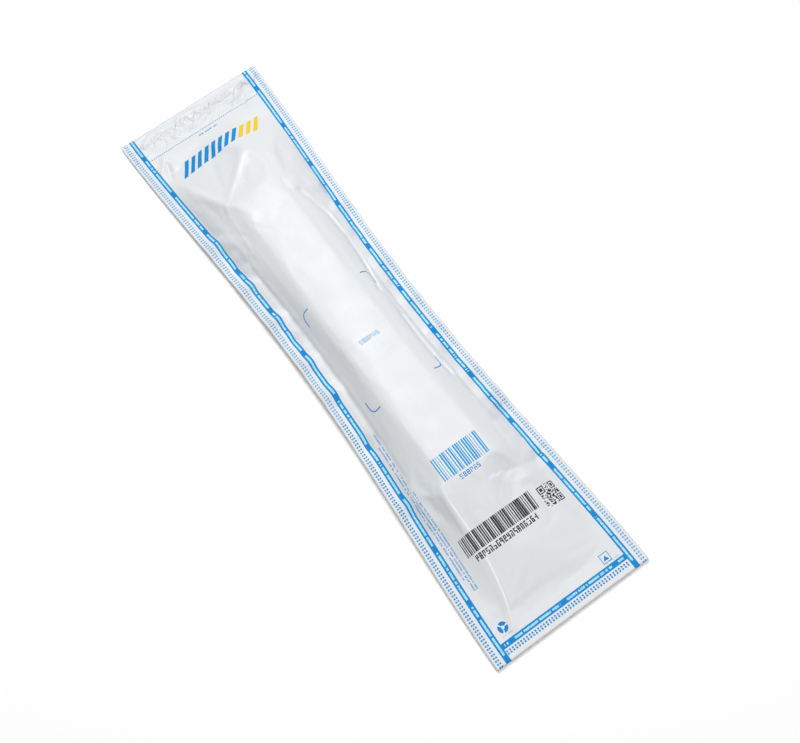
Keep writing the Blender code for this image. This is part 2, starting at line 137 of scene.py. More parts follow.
# where it goes with, points (across as a share of the half width, along from there),
# height, left flank, right flank
creases = [
    ("contentsHigh", ((0.47, -0.015), (0.74, -0.036)), 0.0022, 0.010, 0.012),
    ("top", ((-0.75, -0.012), (-0.60, -0.006), (-0.31, -0.009), (-0.06, -0.006), (0.17, -0.010),
             (0.42, -0.0105), (0.70, -0.010), (0.84, -0.012)), 0.0019, 0.0035, 0.0045),
    ("top", ((-0.20, -0.006), (-0.26, -0.016), (-0.34, -0.022)), 0.0014, 0.004, 0.004),
    ("top", ((0.28, -0.010), (0.20, -0.020)), 0.0014, 0.004, 0.005),
    ("top", ((0.50, -0.026), (0.62, -0.017), (0.74, -0.011)), 0.0015, 0.004, 0.004),
    ("top", ((0.58, -0.034), (0.66, -0.020)), -0.0014, 0.004, 0.004),
    ("top", ((-0.76, -0.048), (-0.64, -0.038), (-0.60, -0.050)), 0.0018, 0.006, 0.006),
    ("top", ((-0.74, -0.060), (-0.66, -0.046)), -0.0015, 0.005, 0.005),
    ("contentsHigh", ((-0.42, 0.000), (-0.47, -0.010), (-0.52, -0.046)), 0.0009, 0.003, 0.004),
    ("contentsHigh", ((0.44, -0.028), (0.52, -0.045), (0.61, -0.060), (0.655, -0.083), (0.647, -0.110),
                      (0.60, -0.126), (0.50, -0.150)), -0.0030, 0.005, 0.006),
    ("contentsHigh", ((0.56, -0.181), (0.545, -0.204), (0.54, -0.232), (0.60, -0.248)),
     -0.0026, 0.005, 0.006),
    ("contentsLow", ((0.33, -0.015), (0.50, -0.018), (0.76, -0.017)), -0.0032, 0.020, 0.010),
    ("contentsLow", ((-0.37, 0.003), (-0.39, -0.037), (-0.43, -0.077), (-0.50, -0.097), (-0.60, -0.117)),
     0.0007, 0.0060, 0.0060),
]

# corners of the facets past the closure end of the goods: across as a share of the half
# width, along as a share of the closure slope, height as a share of the goods' height
facetCorners = {
    "left": (-0.401, 0.0, 1.0),
    "right": (0.401, 0.0, 1.0),
    "knuckle": (0.454, 0.32, 0.955),
    "peak": (0.19, 0.64, 0.965),
    "leftFoot": (-0.697, 1.0, 0.147),
    "rightFoot": (0.697, 1.0, 0.147),
    "middleFoot": (-0.13, 1.26, 0.127),
    "peakFoot": (0.29, 1.26, 0.127),
}
facets = [
    ("left", "right", "peak"),
    ("right", "knuckle", "peak"),
    ("knuckle", "rightFoot", "peakFoot"),
    ("knuckle", "peakFoot", "peak"),
    ("peak", "peakFoot", "middleFoot"),
    ("left", "peak", "middleFoot"),
    ("left", "middleFoot", "leftFoot"),
]
facetMargin = 1e-6


def eased(value, start, stop):
    share = np.clip((value - start) / (stop - start), 0.0, 1.0)
    return share * share * (3 - 2 * share)


def waist(along, power):
    return np.sin(math.pi * np.clip(along / bagLength, 0.0, 1.0)) ** power


def closureFoot():
    return form["contentsHigh"] + form["closureSlope"]


def ridge(along, side):
    # height of the middle and of the shoulder, its place across, and how full the bag is there
    f = form
    foot = f["contentsLow"] - f["bottomSlope"]
    sag = f["contentsLow"] - f["sagShare"] * f["bottomSlope"]
    knuckle = f["contentsHigh"] + f["knuckleShare"] * f["closureSlope"]
    half, full = f["contentsHalf"], f["contentsHeight"]
    if side < 0:
        height, spread = (f["footLift"], f["sagHeight"]), (f["leftFootSpread"], f["leftSagSpread"])
        past, pastHeight = f["leftKnuckleSpread"], f["leftKnuckleHeight"]
    else:
        height = ((f["footLift"] + f["endLift"]) / 2, f["rightSagHeight"])
        spread = (f["ridgeSpread"], f["rightSagSpread"])
        past, pastHeight = f["knuckleSpread"], f["knuckleHeight"]
    knots = (0.0, foot, sag, f["contentsLow"], f["contentsHigh"], knuckle, closureFoot(), bagLength)
    rows = (
        (f["endLift"], f["footLift"], f["sagHeight"], full, full, pastHeight, f["footLift"],
         f["closureLift"]),
        (f["endLift"], *height, full, full, pastHeight, f["footLift"], f["closureLift"]),
        (f["ridgeSpread"], *spread, half, half, past, f["ridgeSpread"], f["ridgeSpread"]),
        f["fullness"],
    )
    return [np.interp(along, knots, row) for row in rows]


def onFacets(across, along, z):
    f = form
    corners = {}
    for name, (share, past, rise) in facetCorners.items():
        corners[name] = (share * halfWidth, f["contentsHigh"] + past * f["closureSlope"],
                         rise * f["contentsHeight"])
    for trio in facets:
        (ax, ay, az), (bx, by, bz), (cx, cy, cz) = (corners[name] for name in trio)
        area = (bx - ax) * (cy - ay) - (cx - ax) * (by - ay)
        toB = ((across - ax) * (cy - ay) - (cx - ax) * (along - ay)) / area
        toC = ((bx - ax) * (along - ay) - (across - ax) * (by - ay)) / area
        inside = (toB > -facetMargin) & (toC > -facetMargin) & (toB + toC < 1 + facetMargin)
        z = np.where(inside, az + toB * (bz - az) + toC * (cz - az), z)
    return z


def tautFront(across, along):
    # over the goods, down a wall into a valley and up to the seam, with the film's own width kept
    f = form
    side = np.where(across < 0, -1.0, 1.0)
    distance = np.abs(across)
    middle, height, spread, fullness = (
        np.where(across < 0, one, other) for one, other in zip(ridge(along, -1), ridge(along, 1)))
    seamX = seamAt - f["waistPull"] * waist(along, f["waistPower"])
    low = f["endLift"] + (f["closureLift"] - f["endLift"]) * eased(along, closureFoot(), bagLength)
    seamZ = low + (f["seamLift"] - low) * waist(along, f["seamPower"])
    least = (f["leastRidge"] * spread) ** 2
    ridgeX = np.sqrt(np.maximum(spread**2 - (middle - height) ** 2, least))
    chord = np.hypot(seamX - ridgeX, height - seamZ)
    slack = np.where(across < 0, f["leftSlack"], f["rightSlack"])
    spare = np.maximum(seamAt - spread - chord, 0.0) * fullness * slack
    valley = np.where(across < 0, f["leftValley"], f["rightValley"])
    wall = chord + spare - valley
    turn = np.arccos(np.clip((valley**2 + chord**2 - wall**2) / (2 * valley * chord), -1.0, 1.0))
    heading = np.arctan2(height - seamZ, ridgeX - seamX) + turn
    stops = (0 * spread, spread, seamAt - valley, seamAt + 0 * spread)
    places = (0 * spread, ridgeX, seamX + valley * np.cos(heading), seamX)
    heights = (middle, height, seamZ + valley * np.sin(heading), seamZ)
    x = seamX + (distance - seamAt)
    z = seamZ - f["marginDroop"] * waist(along, 1.0) * (distance - seamAt) / (halfWidth - seamAt)
    for near in (2, 1, 0):
        share = (distance - stops[near]) / (stops[near + 1] - stops[near])
        inward = distance < stops[near + 1]
        x = np.where(inward, places[near] + share * (places[near + 1] - places[near]), x)
        z = np.where(inward, heights[near] + share * (heights[near + 1] - heights[near]), z)
    crown = f["crown"] * fullness * np.clip(1 - (distance / spread) ** 2, 0.0, 1.0)
    return side * x, onFacets(across, along, z + crown)


def relief(across, along):
    x, z = np.zeros_like(across), np.zeros_like(across)
    for side, place, reach, halfLength, height in puckers:
        # a pucker is a fold that runs in from the seam and narrows to a point
        distance = across * side
        over = np.clip((distance - (seamAt - reach)) / reach, 0.0, 1.0)
        fade = 1 - puckerLossAtEdge * eased(distance, seamAt, halfWidth)
        width = halfLength * (puckerTip + (1 - puckerTip) * over)
        swell = np.clip(1 - np.abs(along - place * bagLength) / width, 0.0, 1.0)
        z += height * swell * over * fade
        pull = 1 - puckerPullLoss * eased(distance, seamAt, halfWidth)
        x -= side * puckerPull * height * eased(swell, 0.0, 1.0) * over * pull
    anchors = {"top": bagLength}
    anchors.update((name, form[name]) for name in ("contentsHigh", "contentsLow"))
    for anchor, points, height, leftFlank, rightFlank in creases:
        spots = [(share * halfWidth, anchors[anchor] + past) for share, past in points]
        best = np.full_like(across, math.inf)
        nearest = np.full_like(across, math.inf)
        for (ax, ay), (bx, by) in zip(spots, spots[1:]):
            dx, dy = bx - ax, by - ay
            share = np.clip(((across - ax) * dx + (along - ay) * dy) / (dx * dx + dy * dy), 0, 1)
            offX, offY = across - ax - share * dx, along - ay - share * dy
            gap = np.hypot(offX, offY)
            flank = np.where(dx * offY - dy * offX >= 0, leftFlank, rightFlank)
            nearest = np.where(gap < best, gap / flank, nearest)
            best = np.minimum(gap, best)
        z += height * np.clip(1 - nearest, 0.0, 1.0)
    return x, z


def frontPoints(across, along):
    # the shoulders along the goods are round, the other folds are sharper
    f = form
    fade = f["shoulderFade"]
    (bottomOut, bottomIn), (closureIn, closureOut) = fade["bottom"], fade["closure"]
    onGoods = eased(along, f["contentsLow"] - bottomOut, f["contentsLow"] + bottomIn)
    onGoods = onGoods * (1 - eased(along, f["contentsHigh"] - closureIn, f["contentsHigh"] + closureOut))
    past = eased(np.abs(across), f["contentsHalf"] + fade["wall"], seamAt - f["rightValley"])
    onGoods = onGoods * (1 - past)
    shoulder = np.where(across < 0, f["leftShoulder"], f["rightShoulder"])
    softness = f["foldSoftness"] + (shoulder - f["foldSoftness"]) * onGoods
    softness += (f["facetSoftness"] - f["foldSoftness"]) * eased(along, f["contentsHigh"], closureFoot())
    x, z = np.zeros_like(across), np.zeros_like(across)
    steps = (-1.0, -0.5, 0.0, 0.5, 1.0)
    for du in steps:
        for dv in steps:
            oneX, oneZ = tautFront(across + du * softness, along + dv * softness)
            x += oneX / len(steps) ** 2
            z += oneZ / len(steps) ** 2
    shiftX, shiftZ = relief(across, along)
    return np.stack((x + shiftX, along - bagLength / 2, z + shiftZ), axis=-1)


def rearPoints(across, along, front, seam):
    # flat under the contents, up to the side seams, one film under the front at seams and ends
    f = form
    distance = np.abs(across)
    lift = np.clip((distance - seamAt) / f["undersideRounding"] + 1, 0.0, 1.0) ** 2
    inside = (distance < seamAt)[..., None]
    under = np.stack((seam[..., 0] * distance / seamAt, front[..., 1],
                      lift * (seam[..., 2] - film["thickness"])), axis=-1)
    close = front - np.array((0.0, 0.0, film["thickness"]))
    start = f["contentsLow"] + f["restInset"]
    stop = f["contentsHigh"] - f["restInset"]
    bottomSeal = film["bottomBandLow"] + film["bottomBandWidth"]
    ends = 1 - eased(along, bottomSeal, start) * (1 - eased(along, stop, bagLength - film["flapLength"]))
    ends = (ends * (1 - eased(front[..., 2], 0.0, f["contentsHeight"])) ** 3)[..., None]
    rear = np.where(inside, under + ends * (close - under), close)
    onFlap = along > bagLength - film["flapLength"]
    rear[..., 2] -= film["flapStep"] * onFlap
    rear[..., 2] = np.minimum(rear[..., 2], front[..., 2] - film["thickness"])
    return rear


def gridFaces(rows, columns, offset=0, flipped=False, halved=False):
    # halved splits front and rear along the same diagonal, or they cross in a warped spot
    faces = []
    for j in range(rows - 1):
        for i in range(columns - 1):
            a = offset + j * columns + i
            corners = (a, a + 1, a + columns + 1, a + columns)
            parts = (corners[:3], (corners[0], *corners[2:])) if halved else (corners,)
            faces += [part[::-1] if flipped else part for part in parts]
    return faces


settle = {
    "frames": 24,
    "quality": 6,
    "mass": 0.0005,
    "stretch": 60.0,
    "shear": 25.0,
    "bend": 0.02,
    "damping": 8.0,
    "bendDamping": 0.5,
    "airDamping": 3.0,
    "hold": 0.6,
    "holdAll": 0.02,
    "holdMargin": 0.25,
    "holdEnd": 0.7,
    "holdMost": 0.97,
    "marginFade": 0.004,
    "endFade": 0.030,
    "bottomHeld": 0.010,
    "closureHeld": 0.008,
    "slack": 1.010,
    "cap": 0.006,
    "gravity": 0.15,
    "boxGap": 0.0006,
    "boxBevel": 0.0055,
    "bevelSteps": 5,
    "leftGap": 0.0045,
    "tableSize": 1.2,
    "thingGap": 0.0004,
    "filmGap": 0.0005,
    "contactQuality": 3,
    "grip": 8.0,
}


def addCollider(thing):
    thing.modifiers.new("Collision", "COLLISION")
    thing.collision.thickness_outer = settle["thingGap"]
    thing.collision.cloth_friction = settle["grip"]


def makeGoods():
    s, f = settle, form
    low, high = f["contentsLow"] - bagLength / 2, f["contentsHigh"] - bagLength / 2
    bpy.ops.object.select_all(action="DESELECT")
    left, right = s["leftGap"] - f["contentsHalf"], f["contentsHalf"] - s["boxGap"]
    middle = ((left + right) / 2, (low + high) / 2, f["contentsHeight"] / 2)
    bpy.ops.mesh.primitive_cube_add(size=1, location=middle)
    goods = bpy.context.object
    goods.scale = (right - left, high - low - s["boxGap"], f["contentsHeight"] - 2 * s["boxGap"])
    bpy.ops.object.transform_apply(location=True, rotation=False, scale=True)
    bevel = goods.modifiers.new("Bevel", "BEVEL")
    bevel.width, bevel.segments = s["boxBevel"], s["bevelSteps"]
    bpy.ops.object.modifier_apply(modifier=bevel.name)
    addCollider(goods)
    return goods


def makeLooseFilm(front, u, v):
    # the ends are held well, the margins a little and the rest hardly
    s = settle
    mesh = bpy.data.meshes.new("looseFilm")
    mesh.from_pydata(front.reshape(-1, 3).tolist(), [], gridFaces(*u.shape))
    mesh.update()
    loose = bpy.data.objects.new("looseFilm", mesh)
    bpy.context.scene.collection.objects.link(loose)
    loose.shape_key_add(name="Basis")
    flat = loose.shape_key_add(name="flat")
    flat.data.foreach_set("co", np.stack((u, (v - bagLength / 2) * s["slack"], 0 * u), -1).ravel())
    held = loose.vertex_groups.new(name="held")
    atBottom = eased(-v, -s["endFade"], -s["bottomHeld"])
    atClosure = eased(v, bagLength - s["endFade"], bagLength - s["closureHeld"])
    weight = s["holdAll"] + s["holdMargin"] * eased(np.abs(u), seamAt - s["marginFade"], halfWidth)
    weight += s["holdEnd"] * np.maximum(atBottom, atClosure)
    for n, share in enumerate(np.clip(weight, 0.0, s["holdMost"]).ravel()):
        held.add((n,), float(share), "REPLACE")
    return loose, flat


def addCloth(loose, flat):
    s = settle
    cloth = loose.modifiers.new("Cloth", "CLOTH")
    one = cloth.settings
    one.quality = s["quality"]
    one.mass = s["mass"]
    one.tension_stiffness = one.compression_stiffness = s["stretch"]
    one.shear_stiffness = s["shear"]
    one.bending_model = "ANGULAR"
    one.bending_stiffness = s["bend"]
    one.tension_damping = one.compression_damping = one.shear_damping = s["damping"]
    one.bending_damping = s["bendDamping"]
    one.air_damping = s["airDamping"]
    one.rest_shape_key = flat
    one.vertex_group_mass = loose.vertex_groups[0].name
    one.pin_stiffness = s["hold"]
    one.effector_weights.gravity = s["gravity"]
    contact = cloth.collision_settings
    contact.use_collision = True
    contact.collision_quality = s["contactQuality"]
    contact.distance_min = s["filmGap"]
    contact.use_self_collision = False
    cloth.point_cache.frame_end = s["frames"]


def settled(front, u, v):
    # lets the slack front film buckle over the goods, starting from its taut shape
    s = settle
    goods = makeGoods()
    bpy.ops.mesh.primitive_plane_add(size=s["tableSize"], location=(0, 0, 0))
    table = bpy.context.object
    addCollider(table)
    loose, flat = makeLooseFilm(front, u, v)
    addCloth(loose, flat)
    scene = bpy.context.scene
    for step in range(1, s["frames"] + 1):
        scene.frame_set(step)
    shown = loose.evaluated_get(bpy.context.evaluated_depsgraph_get()).to_mesh()
    points = np.empty(len(shown.vertices) * 3)
    shown.vertices.foreach_get("co", points)
    points = points.reshape(front.shape)
    for thing in (loose, goods, table):
        bpy.data.objects.remove(thing)
    scene.frame_set(1)
    move = points - front
    far = np.linalg.norm(move, axis=-1, keepdims=True)
    print("film settled, furthest point moved", round(float(far.max()) * 1000, 2), "mm")
    return front + move * np.minimum(1.0, s["cap"] / np.maximum(far, 1e-9))


def between(values, places, axis):
    # values at places between the rows or columns of a grid
    values = np.moveaxis(values, axis, 0)
    low = np.minimum(places.astype(int), len(values) - 2)
    share = (places - low).reshape(-1, *(1,) * (values.ndim - 1))
    return np.moveaxis(values[low] * (1 - share) + values[low + 1] * share, 0, axis)


def withFlapEdge(front, along):
    # two more rows draw the free edge of the flap
    edge = bagLength - film["flapLength"]
    for place in (edge - film["flapEdge"], edge + film["flapEdge"]):
        row = int(np.searchsorted(along, place))
        share = (place - along[row - 1]) / (along[row] - along[row - 1])
        front = np.insert(front, row, front[row - 1] + share * (front[row] - front[row - 1]), axis=0)
        along = np.insert(along, row, place)
    return front, along


def seamPoints(front, across, u):
    # for each point, where its own side's seam is at that place along the bag
    seam = [[[np.interp(side * seamAt, across, row[:, k]) for k in range(3)] for side in (-1, 1)]
            for row in front]
    seam = np.array(seam)
    return np.where((u < 0)[..., None], seam[:, :1], seam[:, 1:])


def skinFaces(rows, columns):
    # the front, the rear and the rim that joins them
    size = rows * columns
    faces = gridFaces(rows, columns, halved=True) + gridFaces(rows, columns, size, True, True)
    rim = list(range(columns))
    rim += [j * columns + columns - 1 for j in range(1, rows)]
    rim += [size - 1 - i for i in range(1, columns)]
    rim += [j * columns for j in range(rows - 2, 0, -1)]
    return faces + [(b, a, a + size, b + size) for a, b in zip(rim, rim[1:] + rim[:1])]


def makeBag():
    finer = film["finer"]
    across = np.linspace(-halfWidth, halfWidth, film["columns"] * finer + 1)
    along = np.linspace(0.0, bagLength, film["rows"] * finer + 1)
    u, v = np.meshgrid(across, along)
    front = frontPoints(u, v)
    # the cloth is settled on every second point, and the points between move with it
    coarse = np.s_[::finer, ::finer]
    move = settled(front[coarse], u[coarse], v[coarse]) - front[coarse]
    steps = np.arange(len(along)) / finer, np.arange(len(across)) / finer
    move = between(between(move, steps[0], 0), steps[1], 1)
    front = front + move
    front, along = withFlapEdge(front, along)
    u, v = np.meshgrid(across, along)
    rear = rearPoints(u, v, front, seamPoints(front, across, u))
    rows, columns = u.shape
    points = np.concatenate((front.reshape(-1, 3), rear.reshape(-1, 3)))
    mesh = bpy.data.meshes.new("mailerBag")
    mesh.from_pydata(points.tolist(), [], skinFaces(rows, columns))
    mesh.update()
    # on the rear the film goes on past the closure end, round its fold
    onFlap = v > bagLength - film["flapLength"]
    rearV = np.where(onFlap, 2 * bagLength - v, v)
    uvs = np.concatenate((np.stack((u, v), -1).reshape(-1, 2), np.stack((u, rearV), -1).reshape(-1, 2)))
    layer = mesh.uv_layers.new(name="film")
    loops = np.empty(len(mesh.loops), dtype=np.int32)
    mesh.loops.foreach_get("vertex_index", loops)
    layer.data.foreach_set("uv", uvs[loops].ravel().astype(np.float32))
    # the first slot is the printed film, on the front and the flap, and the second the plain film
    frontCount = 2 * (rows - 1) * (columns - 1)
    slots = np.zeros(len(mesh.polygons), dtype=np.int32)
    slots[frontCount:] = 1
    slots[frontCount:2 * frontCount].reshape(rows - 1, 2 * (columns - 1))[onFlap[:-1, 0]] = 0
    mesh.polygons.foreach_set("material_index", slots)
    mesh.shade_smooth()
    bag = bpy.data.objects.new("mailerBag", mesh)
    bpy.context.scene.collection.objects.link(bag)
    return bag


class Wire:
    # a socket, with Python's own signs for its Math nodes
    def __init__(self, tree, socket=None):
        self.tree = tree
        self.socket = socket

    def node(self, kind, settings=None, sockets=None, out=0):
        made = self.tree.nodes.new("ShaderNode" + kind)
        for name, value in (settings or {}).items():
            setattr(made, name, value)
        for name, value in (sockets or {}).items():
            if isinstance(value, Wire):
                self.tree.links.new(value.socket, made.inputs[name])
            else:
                made.inputs[name].default_value = value
        return Wire(self.tree, made.outputs[out] if made.outputs else None)

    def maths(self, operation, *values):
        return self.node("Math", {"operation": operation}, dict(enumerate(values)))

    def __add__(self, other):
        return self.maths("ADD", self, other)

    def __radd__(self, other):
        return self.maths("ADD", other, self)

    def __sub__(self, other):
        return self.maths("SUBTRACT", self, other)

    def __rsub__(self, other):
        return self.maths("SUBTRACT", other, self)

    def __mul__(self, other):
        return self.maths("MULTIPLY", self, other)

    def __rmul__(self, other):
        return self.maths("MULTIPLY", other, self)

    def __truediv__(self, other):
        return self.maths("DIVIDE", self, other)

    def __gt__(self, other):
        return self.maths("GREATER_THAN", self, other)

    def __lt__(self, other):
        return self.maths("LESS_THAN", self, other)

    def __abs__(self):
        return self.maths("ABSOLUTE", self)

    def floor(self):
        return self.maths("FLOOR", self)

    def atLeast(self, other):
        return self.maths("MAXIMUM", self, other)

    def atMost(self, other):
        return self.maths("MINIMUM", self, other)

    def root(self):
        return self.maths("SQRT", self)

    def within(self, low, high):
        return (self > low) * (self < high)

    def eased(self, start, stop):
        # 0 before start, 1 after stop, and a soft step between
        return self.node("MapRange", {"interpolation_type": "SMOOTHSTEP"},
                         {"Value": self, 1: start, 2: stop, 3: 0.0, 4: 1.0})

    def scatter(self, x, y):
        # an even random number from 0 to 1 for each pair of values
        spot = self.node("CombineXYZ", sockets={0: x, 1: y})
        return self.node("TexWhiteNoise", {"noise_dimensions": "2D"}, {"Vector": spot})


def newMaterial(name):
    made = bpy.data.materials.new(name)
    made.use_nodes = True
    return made, made.node_tree.nodes["Principled BSDF"], Wire(made.node_tree)


def mixedColour(wire, share, first, second):
    return wire.node("Mix", {"data_type": "RGBA"}, {0: share, 6: first, 7: second}, out=2)


def mixedValue(wire, share, first, second):
    return wire.node("Mix", {"data_type": "FLOAT"}, {0: share, 2: first, 3: second})


filmLook = {
    "white": (0.80, 0.81, 0.825, 1.0),
    "blue": (0.0, 0.255, 0.66, 1.0),
    "deepBlue": (0.0, 0.29, 0.65, 1.0),
    "paleBlue": (0.13, 0.44, 0.76, 1.0),
    "codeBlue": (0.02, 0.36, 0.73, 1.0),
    # a painted highlight: the whiter colour of the thin bright line along the long crease
    "creaseHighlight": (0.97, 0.97, 0.98, 1.0),
    "bandText": (0.42, 0.86, 1.0, 1.0),
    "black": (0.020, 0.018, 0.020, 1.0),
    "yellow": (0.90, 0.62, 0.03, 1.0),
    "roughness": 0.36,
    "inkRoughness": 0.72,
    "specular": 0.32,
    "relief": 0.001,
    "streaks": 0.30,
    "folds": 0.09,
    "rolls": 0.55,
    "edge": 0.55,
    "fold": 0.80,
    "pleats": 1.60,
    "soft": 0.22,
    "fine": 0.020,
}

# the print, in film coordinates
printed = {
    "dash": {"size": 0.0019, "pitch": 0.0013, "thin": 0.11, "gap": 0.07, "inked": 4,
             "start": -1.0, "stop": 2.0, "repeat": 0.052, "plain": 0.0065},
    "dashSeed": {"left": 2.0, "rightMore": 11.0, "bottom": 5.0},
    "bottomDash": {"shift": 0.004, "inset": 0.002},
    "ticks": {"inset": 0.0024, "width": 0.0036, "pitch": 0.0028, "long": 0.0015, "slit": 0.0005,
              "deepTo": 0.240},
    "bottomTicks": {"low": 0.0048, "high": 0.0086, "half": 0.0615},
    "tearLine": {"along": 0.569, "half": 0.0615, "pitch": 0.0024, "long": 0.0013, "thick": 0.0009},
    "tearNote": {"start": -0.0085, "stop": 0.0115, "low": 0.5633, "size": 0.0016, "pitch": 0.0013,
                 "thin": 0.20, "seed": 6.0},
    "stripes": {"low": 0.5290, "high": 0.5475, "start": -0.0450, "stop": 0.0490, "lean": 0.55,
                "pitch": 0.0078, "long": 0.0046, "turn": 0.0175},
    "label": {"middle": 0.2845, "halfLong": 0.0560, "halfWide": 0.0415, "corner": 0.0065,
              "arm": 0.0125, "thick": 0.0011},
    "labelWord": {"start": -0.0100, "stop": 0.0104, "low": 0.2822, "size": 0.0042, "pitch": 0.0034,
                  "stroke": 0.0006, "seed": 4.0},
    "blueCode": {"start": -0.0225, "stop": 0.0225, "low": 0.1425, "high": 0.1643, "step": 0.0022,
                 "thin": 0.30, "seed": 8.0},
    "blueWord": {"start": -0.0100, "stop": 0.0104, "low": 0.1363, "size": 0.0042, "pitch": 0.0034,
                 "stroke": 0.0007, "seed": 4.0},
    "blackCode": {"start": -0.0440, "stop": 0.0290, "low": 0.0840, "high": 0.1000, "step": 0.0019,
                  "thin": 0.46, "seed": 3.0},
    "blackWord": {"start": -0.0380, "stop": 0.0242, "low": 0.0768, "size": 0.0055, "pitch": 0.00345,
                  "stroke": 0.0010, "seed": 9.0},
    "squareCode": {"left": 0.0355, "low": 0.0785, "size": 0.0190, "cells": 21},
    "smallPrint": ((-0.0558, 0.061, 0.2165), (-0.0585, 0.073, 0.205), (-0.0530, 0.061, 0.155)),
    "smallRow": {"size": 0.0014, "pitch": 0.0012, "thin": 0.22, "gap": 0.14, "seed": 13.0},
    "ringMark": {"across": -0.0527, "along": 0.0248, "inner": 0.0015, "outer": 0.0047,
                 "parts": 3, "gap": 0.16},
    "ringNote": {"start": -0.0582, "stop": -0.0472, "low": 0.0177, "size": 0.0011, "pitch": 0.0011,
                 "seed": 21.0},
    "boxMark": {"across": 0.0480, "along": 0.0212, "half": 0.0042, "thick": 0.0006,
                "slope": 1.6, "peak": 0.45, "foot": 0.55},
    "boxNote": {"start": 0.0425, "stop": 0.0590, "low": 0.0162, "size": 0.0011, "pitch": 0.0011,
                "seed": 21.0},
}

# each letter has places for strokes and levels, of which a random share is inked; the steps keep
# the random numbers of one row and another apart
letterLook = {"strokes": 4.0, "inked": 3, "levels": 5.0, "thin": 0.40, "gap": 0.16,
              "levelStep": 7.0, "wordStep": 3.3}
figureLook = {"wide": 0.74, "levels": 3, "levelGap": 0.30, "uprightGap": 0.25, "uprightSeed": 10.0}
# how much broader a bar gets where the random number is above the second value
barSteps = ((0.20, 0.35), (0.22, 0.7))
# a corner mark of the square code, in cells from its middle
eyeLook = {"middle": 3.5, "core": 1.5, "ring": (2.5, 3.5), "clear": 4.5}


def letters(s, t, row):
    # marks like a row of print that spell nothing: s runs along the row and t up it
    row = {**letterLook, **row}
    place = (s - row["start"]) / row["pitch"]
    letter = place.floor()
    stroke = ((place - letter) * row["strokes"]).floor()
    level = ((t - row["low"]) * (row["levels"] / row["size"])).floor()
    spot = letter * row["strokes"] + stroke
    ink = s.scatter(spot, level + row["seed"] * row["levelStep"]) > row["thin"]
    word = s.scatter(letter, row["seed"] * row["wordStep"] + 0.5) > row["gap"]
    inRow = s.within(row["start"], row["stop"]) * t.within(row["low"], row["low"] + row["size"])
    return ink * word * (stroke < row["inked"] - 0.5) * inRow


def figures(s, t, row):
    # a row of upright and level strokes, as on a plain counter, that spell nothing
    place = (s - row["start"]) / row["pitch"]
    letter = place.floor()
    x = (place - letter) * row["pitch"]
    y = t - row["low"]
    wide, high, thick = row["pitch"] * figureLook["wide"], row["size"], row["stroke"]
    level = (high - thick) / 2
    ink = None
    for n in range(figureLook["levels"]):
        inked = s.scatter(letter, row["seed"] + n + 0.5) > figureLook["levelGap"]
        one = y.within(n * level, n * level + thick) * inked
        ink = one if ink is None else ink.atLeast(one)
    for n, edge in enumerate((0.0, wide - thick)):
        for half in (0, 1):
            one = x.within(edge, edge + thick) * y.within(half * level, (half + 1) * level + thick)
            seed = row["seed"] + figureLook["uprightSeed"] + 2 * n + half
            ink = ink.atLeast(one * (s.scatter(letter, seed) > figureLook["uprightGap"]))
    inRow = s.within(row["start"], row["stop"]) * t.within(row["low"], row["low"] + high)
    return ink * (x < wide) * inRow


def barCode(u, v, code):
    # one bar in each step, thin or broad
    place = (u - code["start"]) / code["step"]
    broad = u.scatter(place.floor(), code["seed"] + 0.5)
    share = code["thin"]
    for more, above in barSteps:
        share = share + more * (broad > above)
    ink = (place - place.floor()) < share
    return ink * u.within(code["start"], code["stop"]) * v.within(code["low"], code["high"])


def squareCode(u, v):
    code = printed["squareCode"]
    cell = code["size"] / code["cells"]
    x, y = (u - code["left"]) / cell, (v - code["low"]) / cell
    ink = u.scatter(x.floor(), y.floor() + 0.5) > 0.5
    first = eyeLook["middle"]
    last = code["cells"] - first
    for cx, cy in ((first, last), (last, last), (last, first)):
        reach = abs(x - cx).atLeast(abs(y - cy))
        eye = (reach < eyeLook["core"]).atLeast(reach.within(*eyeLook["ring"]))
        near = reach < eyeLook["clear"]
        ink = ink * (1 - near) + eye * near
    return ink * x.within(0.0, code["cells"]) * y.within(0.0, code["cells"])


def tickRow(s, t, low, high):
    tick = printed["ticks"]
    place = s / tick["pitch"]
    long = (place - place.floor()) < tick["long"] / tick["pitch"]
    return long * t.within(low, high) * (abs(t - (low + high) / 2) > tick["slit"] / 2)


def bandLetters(s, t, middle, seed):
    # the pale small print in a band, with a plain stretch at each repeat
    dash = printed["dash"]
    turn = s / dash["repeat"]
    busy = (turn - turn.floor()) > dash["plain"] / dash["repeat"]
    return letters(s, t, {**dash, "low": middle - dash["size"] / 2, "seed": seed}) * busy


def labelCorners(u, v):
    mark = printed["label"]
    x = abs(u) - (mark["halfWide"] - mark["corner"])
    y = abs(v - mark["middle"]) - (mark["halfLong"] - mark["corner"])
    outX, outY = x.atLeast(0.0), y.atLeast(0.0)
    reach = (outX * outX + outY * outY).root()
    inward = x.atLeast(y).atMost(0.0)
    line = abs(reach + inward - mark["corner"]) < mark["thick"] / 2
    return line * (x > mark["corner"] - mark["arm"]) * (y > mark["corner"] - mark["arm"])


def ringMark(u, v):
    mark = printed["ringMark"]
    x, y = u - mark["across"], v - mark["along"]
    reach = (x * x + y * y).root()
    turn = x.maths("ARCTAN2", y, x) * (mark["parts"] / (2 * math.pi))
    return reach.within(mark["inner"], mark["outer"]) * ((turn - turn.floor()) > mark["gap"])


def boxMark(u, v):
    mark = printed["boxMark"]
    x, y = abs(u - mark["across"]), v - mark["along"]
    reach = x.atLeast(abs(y))
    frameLine = reach.within(mark["half"] - mark["thick"], mark["half"])
    peak = (x * mark["slope"] + y) < mark["half"] * mark["peak"]
    return frameLine.atLeast(peak * (y > -mark["half"] * mark["foot"]))


